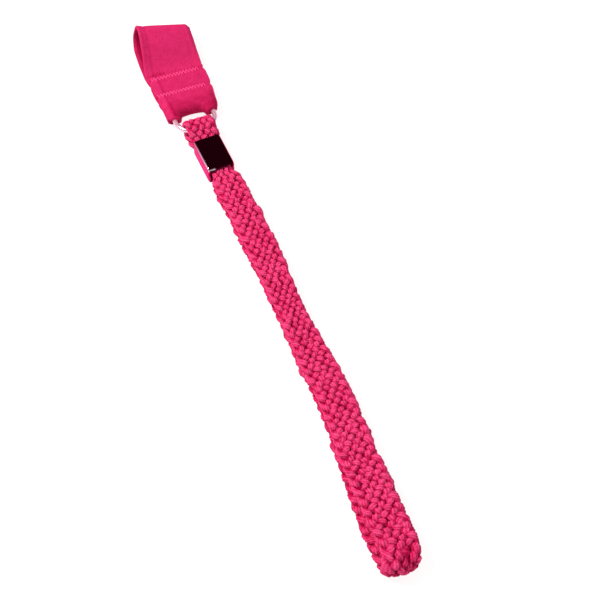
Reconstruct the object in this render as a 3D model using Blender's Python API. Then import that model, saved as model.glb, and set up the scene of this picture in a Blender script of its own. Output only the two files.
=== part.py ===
"""Wrist strap for a walking stick: an elastic sleeve for the stick, a D-ring, a crimp and a braided loop.

Metres, +Z up. The strap lies flat on a table at Z = 0 with its length along Y: the sleeve is at +Y and the
fold of the wrist loop at -Y. Run it with blender --background --python part.py, or from the Text Editor.
"""

import bpy
from math import cos, pi, sin, tan
from mathutils import Vector

MM = 0.001
GAP = 0.3 * MM  # left between pieces that touch

# Where the pieces lie along Y
SLEEVE_FOLD_Y = 118.0 * MM
UPPER_SEAM_Y = 94.0 * MM
LOWER_SEAM_Y = 86.2 * MM
BAR_Y = 79.3 * MM
RING_FOOT_Y = 68.0 * MM
CRIMP_TOP_Y = 61.6 * MM
CRIMP_LENGTH = 14.0 * MM
WRIST_FOLD_Y = -118.0 * MM

# Elastic band
BAND_WIDTH = 20.0 * MM
BAND_THICKNESS = 1.3 * MM
SLEEVE_X = -1.0 * MM  # the band's middle, beside the middle of the whole strap
SLEEVE_HEIGHT_LEFT = 11.0 * MM
SLEEVE_HEIGHT_RIGHT = 8.2 * MM
SLEEVE_LONGER_LEFT = 3.4 * MM
STITCHED_LIFT = 0.5 * MM  # the stitched layers clear the table by the thread below them
THROAT_WIDTH = 11.2 * MM  # the band gathers to this inside the ring
RAW_END = 1.2 * MM  # band past a seam

# Stitching
THREAD_DIAMETER = 0.36 * MM
STITCH_LENGTH = 0.9 * MM
STITCH_HEIGHT = 1.6 * MM
SEAM_WIDTH = 17.4 * MM

# D-ring
RING_WIRE = 2.0 * MM
RING_WIDTH = 14.0 * MM  # between the arms' middles
RING_TOP_CORNER = 1.8 * MM
RING_FOOT_CORNER = 5.6 * MM

# Crimp
CRIMP_WIDTH = 9.3 * MM
CRIMP_HEIGHT = 6.8 * MM
CRIMP_SHEET = 0.8 * MM
CRIMP_TURN = 4.0 * pi / 180
CRIMP_BUTT_GAP = 0.5 * MM
CRIMP_RIDGE = 0.18 * MM

# Braid
BRAID_THICKNESS = 3.0 * MM
BRAID_IN_CRIMP = (7.0 * MM, 2.15 * MM)  # width and thickness
BRAID_AT_RING = (9.0 * MM, 2.3 * MM)
BRAID_END_GAP = 1.6 * MM  # between the two cut ends, inside the crimp
CRIMP_MOUTH = 0.4 * MM  # how far outside the crimp the braid stays squeezed
SPREAD_LENGTH = 4.5 * MM  # in which it then reaches its full width
CLOSING_LENGTH = 22.0 * MM  # in which the upper run comes down to the crimp
OPEN_LENGTH = 75.0 * MM  # from the wrist fold to where the loop has closed to its even gap
RING_CLEARANCE = 0.9 * MM  # round the wire, so that the loop can turn on the curved foot
WRIST_FOLD_HEIGHT = 10.5 * MM
RUN_GAP = 1.7 * MM  # between the two runs of the wrist loop, where it isn't at its fold or its crimp
UPPER_RUN_SHIFT = 1.4 * MM  # at the wrist fold the upper run lies to the right of the lower one

# Heights that follow from these
LAYER = BAND_THICKNESS + GAP
BACK_Z = STITCHED_LIFT + BAND_THICKNESS / 2
MIDDLE_Z = BACK_Z + LAYER
FLAP_Z = MIDDLE_Z + LAYER
TUNNEL_RADIUS = RING_WIRE / 2 + GAP + BAND_THICKNESS / 2
BAR_Z = BACK_Z + TUNNEL_RADIUS
LOOP_RADIUS = RING_WIRE / 2 + RING_CLEARANCE + BRAID_AT_RING[1] / 2
RING_FOOT_Z = LOOP_RADIUS + BRAID_AT_RING[1] / 2
CRIMP_FOOT_Y = CRIMP_TOP_Y - CRIMP_LENGTH
CRIMP_LOWER_Z = CRIMP_SHEET + GAP + BRAID_IN_CRIMP[1] / 2
CRIMP_UPPER_Z = CRIMP_LOWER_Z + BRAID_IN_CRIMP[1] + GAP

# The braid's middle line from above, as (Y, distance from the band's middle), and its width along it
PLAN = [
    (75, 0.45), (62, 0.5), (47, 1.55), (24, 2.8), (0, 3.7),
    (-20, 4.0), (-40, 5.2), (-58, 6.0), (-80, 4.6), (-118, 3.2),
]
WIDTHS = [(44, 11.0), (28, 10.4), (12, 10.6), (-18, 9.2), (-38, 11.0), (-60, 11.8), (-90, 12.7), (-118, 13.0)]


def clear_scene():
    for obj in list(bpy.data.objects):
        bpy.data.objects.remove(obj, do_unlink=True)


def make_material(name, colour, roughness, metallic=0.0):
    material = bpy.data.materials.new(name)
    material.use_nodes = True
    shader = material.node_tree.nodes["Principled BSDF"]
    shader.inputs["Base Color"].default_value = (*colour, 1.0)
    shader.inputs["Roughness"].default_value = roughness
    shader.inputs["Metallic"].default_value = metallic
    material.diffuse_color = (*colour, 1.0)
    return material


def make_empty(name, location, parent=None):
    """An empty on a joint's axis, placed from its parent's."""
    empty = bpy.data.objects.new(name, None)
    empty.empty_display_size = 5 * MM
    bpy.context.scene.collection.objects.link(empty)
    empty.location = location
    empty.parent = parent
    return empty


def make_object(name, points, faces, material, joint, smooth_angle=None):
    """An object whose origin is on its joint's empty, from points given in the whole strap's frame."""
    origin = world_place(joint)
    mesh = bpy.data.meshes.new(name)
    mesh.from_pydata([Vector(point) - origin for point in points], [], faces)
    mesh.materials.append(material)
    if smooth_angle:
        mesh.shade_smooth()
        mesh.set_sharp_from_angle(angle=smooth_angle)
    obj = bpy.data.objects.new(name, mesh)
    bpy.context.scene.collection.objects.link(obj)
    obj.parent = joint
    return obj


def world_place(empty):
    place = Vector(empty.location)
    return place + world_place(empty.parent) if empty.parent else place


def along(table, y):
    """The value at y of a smooth curve through the table's points, which are in millimetres."""
    rows = sorted(table)
    y = y / MM
    if y <= rows[0][0] or y >= rows[-1][0]:
        return (rows[0] if y <= rows[0][0] else rows[-1])[1] * MM
    i = max(n for n in range(len(rows) - 1) if rows[n][0] <= y)
    (y0, v0), (y1, v1) = rows[i], rows[i + 1]
    before, after = rows[max(i - 1, 0)], rows[min(i + 2, len(rows) - 1)]
    slope0 = (v1 - before[1]) / (y1 - before[0])
    slope1 = (after[1] - v0) / (after[0] - y0)
    step, t = y1 - y0, (y - y0) / (y1 - y0)
    hermite = (2 * t**3 - 3 * t**2 + 1) * v0 + (t**3 - 2 * t**2 + t) * step * slope0
    return (hermite + (3 * t**2 - 2 * t**3) * v1 + (t**3 - t**2) * step * slope1) * MM


def ease(t):
    t = min(max(t, 0.0), 1.0)
    return t * t * (3 - 2 * t)


def line(start, end, count, eased=False):
    """Points of a run in the YZ plane, without its last point; an eased run starts and ends level."""
    steps = [n / count for n in range(count)]
    return [
        (start[0] + (end[0] - start[0]) * t, start[1] + (end[1] - start[1]) * (ease(t) if eased else t))
        for t in steps
    ]


def arc(centre, radius, start, end, count):
    """Points of a round stretch in the YZ plane, without its last point; angles are from +Y towards +Z."""
    turns = [start + (end - start) * n / count for n in range(count)]
    return [(centre[0] + radius * cos(turn), centre[1] + radius * sin(turn)) for turn in turns]


def normals(path):
    """The unit normal to each point of a YZ path, on its left."""
    found = []
    for i in range(len(path)):
        a, b = path[max(i - 1, 0)], path[min(i + 1, len(path) - 1)]
        found.append(Vector((a[1] - b[1], b[0] - a[0])).normalized())
    return found


def loft(sections):
    """Faces over sections of equally many points, each a closed outline, with both ends capped."""
    count = len(sections[0])
    faces = [
        (j * count + i, j * count + (i + 1) % count, (j + 1) * count + (i + 1) % count, (j + 1) * count + i)
        for j in range(len(sections) - 1)
        for i in range(count)
    ]
    last = (len(sections) - 1) * count
    faces.append(tuple(reversed(range(count))))
    faces.append(tuple(range(last, last + count)))
    return [point for section in sections for point in section], faces


# ---------------------------------------------------------------- elastic sleeve


def band_path(side):
    """The band's middle line in the YZ plane, at one place across it from -1, its left, to 1, its right."""
    left = (1 - side) / 2
    height = SLEEVE_HEIGHT_RIGHT + (SLEEVE_HEIGHT_LEFT - SLEEVE_HEIGHT_RIGHT) * left
    radius = (height - BAND_THICKNESS) / 2
    floor = BAND_THICKNESS / 2
    fold = SLEEVE_FOLD_Y - SLEEVE_LONGER_LEFT * (1 - left) - BAND_THICKNESS / 2 - radius
    flat_y = UPPER_SEAM_Y + 5 * MM
    path = line((LOWER_SEAM_Y - 3.4 * MM, MIDDLE_Z), (UPPER_SEAM_Y + 1.6 * MM, MIDDLE_Z), 6)
    path += line((UPPER_SEAM_Y + 1.6 * MM, MIDDLE_Z), (fold, height - floor), 10, eased=True)
    path += arc((fold, floor + radius), radius, pi / 2, -pi / 2, 14)
    path += line((fold, floor), (flat_y, floor), 4)
    path += line((flat_y, floor), (UPPER_SEAM_Y + 1 * MM, BACK_Z), 5, eased=True)
    path += line((UPPER_SEAM_Y + 1 * MM, BACK_Z), (BAR_Y + 4.5 * MM, BACK_Z), 5)
    path += line((BAR_Y + 4.5 * MM, BACK_Z), (BAR_Y, BACK_Z), 6)
    path += arc((BAR_Y, BAR_Z), TUNNEL_RADIUS, -pi / 2, -3 * pi / 2, 12)
    path += line((BAR_Y, BAR_Z + TUNNEL_RADIUS), (BAR_Y + 4.5 * MM, FLAP_Z), 6, eased=True)
    path += line((BAR_Y + 4.5 * MM, FLAP_Z), (UPPER_SEAM_Y + RAW_END, FLAP_Z), 6)
    return path + [(UPPER_SEAM_Y + RAW_END, FLAP_Z)]


def band_half_width(y):
    """The band is full width down to the bar and gathers to the throat where it passes through the ring."""
    gathered = 1 - ease((y - BAR_Y - 1.0 * MM) / (2.0 * MM))
    return (BAND_WIDTH - (BAND_WIDTH - THROAT_WIDTH) * gathered) / 2


def make_elastic_band(material, joint):
    columns = [-1, -0.6, -0.2, 0.2, 0.6, 1]
    paths = [band_path(side) for side in columns]
    sides = [normals(path) for path in paths]
    sections = []
    for j in range(len(paths[0])):
        faces = {1: [], -1: []}
        for side, path, normal in zip(columns, paths, sides):
            (y, z), n = path[j], normal[j]
            for face in faces:
                offset = face * BAND_THICKNESS / 2
                x = SLEEVE_X + side * band_half_width(y)
                faces[face].append((x, y + n[0] * offset, z + n[1] * offset))
        sections.append(faces[1] + faces[-1][::-1])
    points, faces = loft(sections)
    return make_object("elastic_band", points, faces, material, joint, smooth_angle=0.7)


# ---------------------------------------------------------------- stitching


def make_thread(name, seam_y, height, material, joint):
    """One thread of a zigzag seam, on the band's upper or lower face."""
    stitches = round(SEAM_WIDTH / STITCH_LENGTH)
    start = SLEEVE_X - SEAM_WIDTH / 2
    half = THREAD_DIAMETER / 2
    sections = []
    for n in range(stitches + 1):
        x = start + SEAM_WIDTH * n / stitches
        y = seam_y + STITCH_HEIGHT / 2 * (1 if n % 2 else -1)
        outline = [(half * cos(turn * pi / 3), half * sin(turn * pi / 3)) for turn in range(6)]
        sections.append([(x, y + a, height + b) for a, b in outline])
    points, faces = loft(sections)
    return make_object(name, points, faces, material, joint)


def make_seams(material, joint):
    above = FLAP_Z + BAND_THICKNESS / 2 + THREAD_DIAMETER / 2 + 0.08 * MM
    below = STITCHED_LIFT - THREAD_DIAMETER / 2 - 0.08 * MM
    for seam, y in (("upper_seam", UPPER_SEAM_Y), ("lower_seam", LOWER_SEAM_Y)):
        make_thread(f"{seam}_needle_thread", y, above, material, joint)
        make_thread(f"{seam}_bobbin_thread", y, below, material, joint)


# ---------------------------------------------------------------- D-ring


def ring_outline():
    """The wire's middle line in the ring's own plane: X across, and the distance down from the bar."""
    half, drop = RING_WIDTH / 2, BAR_Y - RING_FOOT_Y
    top, foot = RING_TOP_CORNER, RING_FOOT_CORNER
    outline = arc((half - top, top), top, -pi / 2, 0, 5)
    outline += arc((half - foot, drop - foot), foot, 0, pi / 2, 10)
    outline += arc((foot - half, drop - foot), foot, pi / 2, pi, 10)
    return outline + arc((top - half, top), top, pi, 3 * pi / 2, 5)


def make_d_ring(material, joint):
    rise = (RING_FOOT_Z - BAR_Z) / (BAR_Y - RING_FOOT_Y)
    curve = bpy.data.curves.new("d_ring", "CURVE")
    curve.dimensions = "3D"
    curve.bevel_depth = RING_WIRE / 2
    curve.bevel_resolution = 3
    outline = ring_outline()
    spline = curve.splines.new("POLY")
    spline.points.add(len(outline) - 1)
    spline.use_cyclic_u = True
    for point, (x, down) in zip(spline.points, outline):
        point.co = (SLEEVE_X + x, -down, down * rise, 1.0)
    curve.materials.append(material)
    ring = bpy.data.objects.new("d_ring", curve)
    bpy.context.scene.collection.objects.link(ring)
    ring.parent = joint
    return ring


# ---------------------------------------------------------------- crimp


def crimp_section(inset, ridge):
    """A C of sheet metal in the XZ plane: its outside pulled in by inset, its inside closed in by ridge."""
    corner = 1.0 * MM
    half, height, sheet = CRIMP_WIDTH / 2, CRIMP_HEIGHT, CRIMP_SHEET
    outside, inside = [], []
    for quarter, (x, z) in enumerate(((1, 0), (1, 1), (-1, 1), (-1, 0))):
        middle = (x * (half - corner), corner + z * (height - 2 * corner))
        for k in range(4):
            turn = (quarter - 1) * pi / 2 + k * pi / 6
            outside.append((middle[0] + (corner - inset) * cos(turn), middle[1] + (corner - inset) * sin(turn)))
            shift = ridge * (1 - 2 * z)
            inside.append((middle[0] + (corner - sheet) * cos(turn), middle[1] + (corner - sheet) * sin(turn) + shift))
    butt = CRIMP_BUTT_GAP / 2
    outside = [(butt, inset)] + outside + [(-butt, inset)]
    inside = [(butt, sheet + ridge)] + inside + [(-butt, sheet + ridge)]
    return outside + inside[::-1]


def make_crimp(material, joint):
    """A sheet wrapped round the braid, its edges meeting below, with pressed ridges inside and rolled lips."""
    # how far down the crimp, how far the outside is pulled in there, and the ridge's share of its height
    stations = [(0.0, 0.35, 0.0), (0.4, 0.1, 0.0), (0.9, 0.0, 0.0)]
    for ridge_y in (3.0, 7.0, 11.0):
        stations += [(ridge_y - 0.6, 0.0, 0.0), (ridge_y, 0.0, 1.0), (ridge_y + 0.6, 0.0, 0.0)]
    stations += [(13.1, 0.0, 0.0), (13.6, 0.12, 0.0), (14.0, 0.4, 0.0)]
    middle_y = CRIMP_TOP_Y - CRIMP_LENGTH / 2
    middle_x = SLEEVE_X + along(PLAN, middle_y)
    across, up = (cos(CRIMP_TURN), sin(CRIMP_TURN)), (-sin(CRIMP_TURN), cos(CRIMP_TURN))
    sections = []
    for down, inset, ridge in stations:
        y = CRIMP_LENGTH / 2 - down * MM
        outline = crimp_section(inset * MM, ridge * CRIMP_RIDGE)
        sections.append([
            (middle_x + x * across[0] + y * up[0], middle_y + x * across[1] + y * up[1], z) for x, z in outline
        ])
    points, faces = loft(sections)
    return make_object("crimp", points, faces, material, joint, smooth_angle=0.6)


# ---------------------------------------------------------------- braid


def braid_path():
    """The braid's middle line in the YZ plane: crimp, ring, crimp, lower run, fold, upper run, crimp."""
    floor = BRAID_THICKNESS / 2
    upper = floor + BRAID_THICKNESS + RUN_GAP
    top = WRIST_FOLD_HEIGHT - floor
    radius = (top - floor) / 2
    fold = WRIST_FOLD_Y + BRAID_THICKNESS / 2 + radius
    middle_y = CRIMP_TOP_Y - CRIMP_LENGTH / 2
    mouth, foot = CRIMP_TOP_Y + CRIMP_MOUTH, CRIMP_FOOT_Y - CRIMP_MOUTH
    start, end = middle_y + BRAID_END_GAP / 2, middle_y - BRAID_END_GAP / 2
    path = line((start, CRIMP_UPPER_Z), (mouth, CRIMP_UPPER_Z), 4)
    path += line((mouth, CRIMP_UPPER_Z), (RING_FOOT_Y, RING_FOOT_Z + LOOP_RADIUS), 5, eased=True)
    path += arc((RING_FOOT_Y, RING_FOOT_Z), LOOP_RADIUS, pi / 2, -pi / 2, 14)
    path += line((RING_FOOT_Y, RING_FOOT_Z - LOOP_RADIUS), (mouth, CRIMP_LOWER_Z), 5, eased=True)
    path += line((mouth, CRIMP_LOWER_Z), (foot, CRIMP_LOWER_Z), 6)
    path += line((foot, CRIMP_LOWER_Z), (foot - SPREAD_LENGTH, floor), 5, eased=True)
    path += line((foot - SPREAD_LENGTH, floor), (fold, floor), 20)
    path += arc((fold, floor + radius), radius, -pi / 2, -3 * pi / 2, 14)
    path += line((fold, top), (fold + OPEN_LENGTH, upper), 14, eased=True)
    path += line((fold + OPEN_LENGTH, upper), (foot - CLOSING_LENGTH, upper), 10)
    path += line((foot - CLOSING_LENGTH, upper), (foot, CRIMP_UPPER_Z), 8, eased=True)
    path += line((foot, CRIMP_UPPER_Z), (end, CRIMP_UPPER_Z), 4)
    return path + [(end, CRIMP_UPPER_Z)]


def braid_size(y):
    """The braid's width and thickness: squeezed in the crimp and on the ring, full along the wrist loop."""
    if y > CRIMP_TOP_Y:
        grown = ease((y - CRIMP_TOP_Y - CRIMP_MOUTH) / (RING_FOOT_Y - CRIMP_TOP_Y) * 2)
        return [a + (b - a) * grown for a, b in zip(BRAID_IN_CRIMP, BRAID_AT_RING)]
    grown = ease((CRIMP_FOOT_Y - CRIMP_MOUTH - y) / SPREAD_LENGTH)
    full = (along(WIDTHS, y), BRAID_THICKNESS)
    return [a + (b - a) * grown for a, b in zip(BRAID_IN_CRIMP, full)]


def make_braided_strap(material, joint):
    path = braid_path()
    sections = []
    for (y, z), n in zip(path, normals(path)):
        width, thickness = braid_size(y)
        raised = ease((z - BRAID_THICKNESS / 2) / (WRIST_FOLD_HEIGHT - BRAID_THICKNESS))
        to_right = UPPER_RUN_SHIFT * raised * ease((-70 * MM - y) / (25 * MM))
        middle = SLEEVE_X + along(PLAN, y) + to_right
        round_edge = thickness / 2
        outline = []
        for sign in (1, -1):
            outline += [
                (sign * (width / 2 - round_edge + round_edge * cos(turn)), sign * round_edge * sin(turn))
                for turn in (pi / 2, pi / 4, 0, -pi / 4, -pi / 2)
            ]
        sections.append([(middle + a, y + n[0] * b, z + n[1] * b) for a, b in outline])
    points, faces = loft(sections)
    return make_object("braided_strap", points, faces, material, joint, smooth_angle=0.9)


def main():
    clear_scene()
    textile = make_material("raspberry_elastic", (0.73, 0.03, 0.14), 0.85)
    thread = make_material("raspberry_thread", (0.76, 0.04, 0.16), 0.7)
    plait = make_material("raspberry_braid", (0.75, 0.03, 0.14), 0.8)
    chrome = make_material("chromed_wire", (0.9, 0.82, 0.85), 0.15, 1.0)
    wine_metal = make_material("wine_metal", (0.06, 0.005, 0.015), 0.2, 1.0)
    sleeve = make_empty("sleeve_joint", (0, 0, 0))
    ring = make_empty("ring_joint", (0, BAR_Y, BAR_Z), sleeve)
    strap = make_empty("strap_joint", (0, RING_FOOT_Y - BAR_Y, RING_FOOT_Z - BAR_Z), ring)
    make_elastic_band(textile, sleeve)
    make_seams(thread, sleeve)
    make_d_ring(chrome, ring)
    make_crimp(wine_metal, strap)
    make_braided_strap(plait, strap)


main()
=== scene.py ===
"""Makes a walking stick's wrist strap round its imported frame: braid, elastic sleeve, seams, D-ring and crimp."""

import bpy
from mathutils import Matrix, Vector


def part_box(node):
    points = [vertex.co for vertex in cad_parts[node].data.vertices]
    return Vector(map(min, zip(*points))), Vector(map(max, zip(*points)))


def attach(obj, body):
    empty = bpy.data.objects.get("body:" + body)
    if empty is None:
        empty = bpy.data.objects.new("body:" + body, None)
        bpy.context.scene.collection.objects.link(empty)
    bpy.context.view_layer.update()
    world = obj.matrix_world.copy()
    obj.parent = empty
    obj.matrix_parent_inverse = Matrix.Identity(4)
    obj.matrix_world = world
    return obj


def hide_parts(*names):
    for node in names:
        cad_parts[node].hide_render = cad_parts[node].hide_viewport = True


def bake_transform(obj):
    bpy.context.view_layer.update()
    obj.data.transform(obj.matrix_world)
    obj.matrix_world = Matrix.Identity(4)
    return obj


bl_info = {
    "name": "Walking stick wrist strap",
    "version": (1, 0, 0),
    "blender": (4, 5, 0),
    "location": "View3D > Sidebar > Wrist strap",
    "description": "Makes the pieces of a braided wrist strap with an elastic sleeve, and a plain stage for it",
    "category": "Object",
}

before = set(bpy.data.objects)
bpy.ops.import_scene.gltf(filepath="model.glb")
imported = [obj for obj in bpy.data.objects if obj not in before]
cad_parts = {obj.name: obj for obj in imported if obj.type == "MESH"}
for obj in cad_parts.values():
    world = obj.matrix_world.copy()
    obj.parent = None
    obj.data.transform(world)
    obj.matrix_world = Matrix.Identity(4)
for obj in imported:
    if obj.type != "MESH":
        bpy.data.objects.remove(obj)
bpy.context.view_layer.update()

from functools import partial
from math import cos, pi, radians, sin
from random import Random

import bmesh
import bpy
import numpy as np
from bpy.props import FloatProperty, FloatVectorProperty, IntProperty, PointerProperty
from bpy.types import Operator, Panel, PropertyGroup
from mathutils import Vector

MM = 0.001
BRAID_BOX, CRIMP_BOX, BAND_BOX = (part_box(node) for node in ("braided_strap", "crimp", "elastic_band"))

# The route of the strap, the same as its solids'
SLEEVE_X = (BAND_BOX[0].x + BAND_BOX[1].x) / 2
SLEEVE_FOLD_Y = BAND_BOX[1].y
UPPER_SEAM_Y = 94.0 * MM
LOWER_SEAM_Y = 86.2 * MM
BAR_Y = 79.3 * MM
RING_FOOT_Y = 68.0 * MM
CRIMP_TOP_Y = 61.6 * MM
CRIMP_LENGTH = 14.0 * MM
CRIMP_FOOT_Y = CRIMP_TOP_Y - CRIMP_LENGTH
WRIST_FOLD_Y = BRAID_BOX[0].y
WRIST_FOLD_HEIGHT = BRAID_BOX[1].z
BAND_LAYER = 1.6 * MM
BACK_Z = 1.15 * MM
MIDDLE_Z = BACK_Z + BAND_LAYER
FLAP_Z = MIDDLE_Z + BAND_LAYER
TUNNEL_RADIUS = 1.95 * MM
BAR_Z = BACK_Z + TUNNEL_RADIUS
LOOP_RADIUS = 3.05 * MM
RING_FOOT_Z = 4.2 * MM
CRIMP_LOWER_Z = 2.175 * MM
CRIMP_UPPER_Z = 4.625 * MM
RUN_GAP = 1.7 * MM

# The braid's middle line from above, as (Y, distance from the band's middle), and its width along it, in mm
PLAN = [
    (75, 0.3), (64, 0.1), (60, 0.35), (47, 1.2), (36, 1.85), (24, 2.7), (0, 3.7),
    (-20, 4.0), (-40, 5.2), (-58, 6.0), (-80, 4.6), (-118, 3.2),
]
WIDTHS = [(44, 10.6), (28, 10.4), (12, 10.6), (-18, 9.2), (-38, 11.0), (-60, 11.8), (-90, 12.7), (-118, 13.0)]


Length = partial(FloatProperty, unit="LENGTH")
Colour = partial(FloatVectorProperty, subtype="COLOR", min=0, max=1)


class StrapSizes(PropertyGroup):
    """Sizes of the strap's pieces"""

    strands: IntProperty(
        name="Strands", description="How many strands the braid is plaited from", default=8, min=4, max=12
    )
    plait_pitch: Length(
        name="Plait pitch", description="Braid in which one strand goes across and back", default=0.0304
    )
    strand_width: Length(name="Strand width", description="Width of one flattened strand", default=0.0024)
    strand_thickness: Length(
        name="Strand thickness", description="Thickness of one flattened strand", default=0.0016
    )
    yarns: IntProperty(name="Yarns", description="Twisted yarns in one strand", default=6, min=3, max=8)
    twist_pitch: Length(
        name="Twist pitch", description="Strand in which its yarns twist round once", default=0.008
    )
    band_width: Length(name="Elastic width", description="Width of the elastic band", default=0.020)
    band_thickness: Length(name="Elastic thickness", description="Thickness of the elastic band", default=0.0013)
    ribs: IntProperty(
        name="Elastic ribs", description="Lengthwise ribs in the elastic band", default=24, min=8, max=40
    )
    selvedge: Length(
        name="Selvedge", description="Width of the plain rib along each edge of the band", default=0.0026
    )
    thread: Length(name="Thread", description="Diameter of the sewing thread", default=0.00042)
    stitch_length: Length(
        name="Stitch length", description="Distance between the needle's holes along a seam", default=0.0006
    )
    stitch_height: Length(name="Stitch height", description="Width of the zigzag of a seam", default=0.0017)
    ring_wire: Length(name="Ring wire", description="Diameter of the D-ring's wire", default=0.0018)
    crimp_sheet: Length(name="Crimp sheet", description="Thickness of the crimp's metal", default=0.0008)
    crimp_width: Length(name="Crimp width", description="Width of the crimp across the braid", default=0.0096)


class StrapColours(PropertyGroup):
    """Colours of the strap's finishes, and of the shade, reflection and glints painted into them"""

    # elastic is the band's colour where its painted light is full; elastic_shade is the colour of painted shade in
    # grooves, round the tunnel, in puckers, under the flap's cut end and inside the loop, and of random worn patches
    elastic: Colour(name="Elastic", description="Face of the elastic band", default=(0.655, 0.024, 0.135))
    elastic_shade: Colour(
        name="Elastic shade", description="Grooves and worn patches of the elastic band", default=(0.34, 0.002, 0.040)
    )
    # braid is the yarn's colour where its painted light is full; braid_shade is the colour of painted shade in yarn
    # grooves, between strands, on the lower run and in the far fold's dent, and of the sewing thread's random darker
    # fibres
    braid: Colour(name="Braid", description="Tops of the braid's yarns", default=(0.96, 0.088, 0.265))
    braid_shade: Colour(
        name="Braid shade", description="Grooves between the braid's yarns", default=(0.54, 0.0, 0.062)
    )
    crimp: Colour(name="Crimp", description="Broad faces of the crimp", default=(0.027, 0.0006, 0.006))
    # colour of the painted reflection on the crimp's narrow sides
    crimp_side_reflection: Colour(name="Crimp sides", description="Narrow sides of the crimp", default=(0.78, 0.04, 0.15))
    thread: Colour(name="Thread", description="Sewing thread of the seams", default=(0.88, 0.075, 0.26))
    chrome: Colour(name="Chrome", description="Plating of the D-ring", default=(1.0, 0.56, 0.70))
    # colour of the painted glints on the crimp's left corner and far lip
    glint_colour: Colour(name="Bare metal", description="Rubbed edges of the crimp", default=(0.98, 0.75, 0.84))


# -------- helpers


def settings(context):
    return context.scene.strap_sizes, context.scene.strap_colours


def ease(t):
    t = np.clip(t, 0.0, 1.0)
    return t * t * (3 - 2 * t)


def along(table, y):
    """The values at y of a smooth curve through the table's points, which are in millimetres."""
    rows = np.array(sorted(table), float)
    knots, values = rows[:, 0], rows[:, 1]
    y = np.clip(np.asarray(y) / MM, knots[0], knots[-1])
    i = np.clip(np.searchsorted(knots, y, side="right") - 1, 0, len(knots) - 2)
    before, after = np.maximum(i - 1, 0), np.minimum(i + 2, len(knots) - 1)
    step, t = knots[i + 1] - knots[i], (y - knots[i]) / (knots[i + 1] - knots[i])
    slope0 = (values[i + 1] - values[before]) / (knots[i + 1] - knots[before])
    slope1 = (values[after] - values[i]) / (knots[after] - knots[i])
    found = (2 * t**3 - 3 * t**2 + 1) * values[i] + (t**3 - 2 * t**2 + t) * step * slope0
    return (found + (3 * t**2 - 2 * t**3) * values[i + 1] + (t**3 - t**2) * step * slope1) * MM


def line(start, end, count, eased=False):
    """Points of a run in the YZ plane, without its last point; an eased run starts and ends level."""
    t = np.arange(count) / count
    rise = ease(t) if eased else t
    return np.stack([start[0] + (end[0] - start[0]) * t, start[1] + (end[1] - start[1]) * rise], 1)


def arc(centre, radius, start, end, count):
    """Points of a round stretch in the YZ plane, without its last point; angles are from +Y towards +Z."""
    turn = start + (end - start) * np.arange(count) / count
    return np.stack([centre[0] + radius * np.cos(turn), centre[1] + radius * np.sin(turn)], 1)


def wave(along_it, size, length, phase):
    """A slow wobble, as an uneven hand leaves; its length is in mm, and a whole wave is 2 pi of it."""
    return size * np.sin(along_it / (length * MM) + phase)


def unit(rows):
    return rows / np.maximum(np.linalg.norm(rows, axis=-1, keepdims=True), 1e-12)


def new_object(name, data):
    made = bpy.data.objects.new(name, data)
    bpy.context.scene.collection.objects.link(made)
    return made


def new_piece(name, points, faces, material, uv):
    """A smooth mesh object at the origin; uv gives each point's place in the pattern."""
    mesh = bpy.data.meshes.new(name)
    mesh.from_pydata(points.tolist(), [], faces)
    mesh.materials.append(material)
    mesh.shade_smooth()
    piece = new_object(name, mesh)
    layer = mesh.uv_layers.new(name="pattern")
    corner = np.empty(len(mesh.loops), np.int32)
    mesh.loops.foreach_get("vertex_index", corner)
    layer.data.foreach_set("uv", uv[corner].astype(np.float32).ravel())
    return piece


def point_values(piece, name, values):
    attribute = piece.data.attributes.new(name, "FLOAT", "POINT")
    attribute.data.foreach_set("value", np.asarray(values, np.float32))


def deselect():
    if bpy.context.mode != "OBJECT":
        bpy.ops.object.mode_set(mode="OBJECT")
    bpy.ops.object.select_all(action="DESELECT")


def activate(piece):
    deselect()
    piece.select_set(True)
    bpy.context.view_layer.objects.active = piece


def select_where(piece, kind, test):
    """In edit mode, selects only the edges or faces that pass the test."""
    bpy.context.tool_settings.mesh_select_mode = (False, kind == "EDGE", kind == "FACE")
    bpy.ops.mesh.select_all(action="DESELECT")
    shape = bmesh.from_edit_mesh(piece.data)
    for row in shape.edges if kind == "EDGE" else shape.faces:
        row.select_set(bool(test(row)))
    bmesh.update_edit_mesh(piece.data)


def cut_through(places, normal):
    """In edit mode, cuts the whole mesh at each of these places by a plane with this normal."""
    for place in places:
        bpy.ops.mesh.select_all(action="SELECT")
        bpy.ops.mesh.bisect(plane_co=place, plane_no=normal)


# -------- finishes


def set_inputs(node, values):
    for name, value in values.items():
        node.inputs[name].default_value = value


def add_node(tree, kind, place, values=None, **options):
    """A shader node with these options, and with these values in its inputs."""
    node = tree.nodes.new(kind)
    node.location = place
    for name, value in options.items():
        setattr(node, name, value)
    set_inputs(node, values or {})
    return node


def new_group(name, inputs, outputs):
    """An empty shader node group with its input and output nodes. A socket is its name, its kind and its default."""
    tree = bpy.data.node_groups.new(name, "ShaderNodeTree")
    for in_out, sockets in (("INPUT", inputs), ("OUTPUT", outputs)):
        for label, kind, value in sockets:
            socket = tree.interface.new_socket(label, in_out=in_out, socket_type=f"NodeSocket{kind}")
            if value is not None:
                socket.default_value = value
    return tree, add_node(tree, "NodeGroupInput", (-900, 0)), add_node(tree, "NodeGroupOutput", (900, 0))


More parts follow.
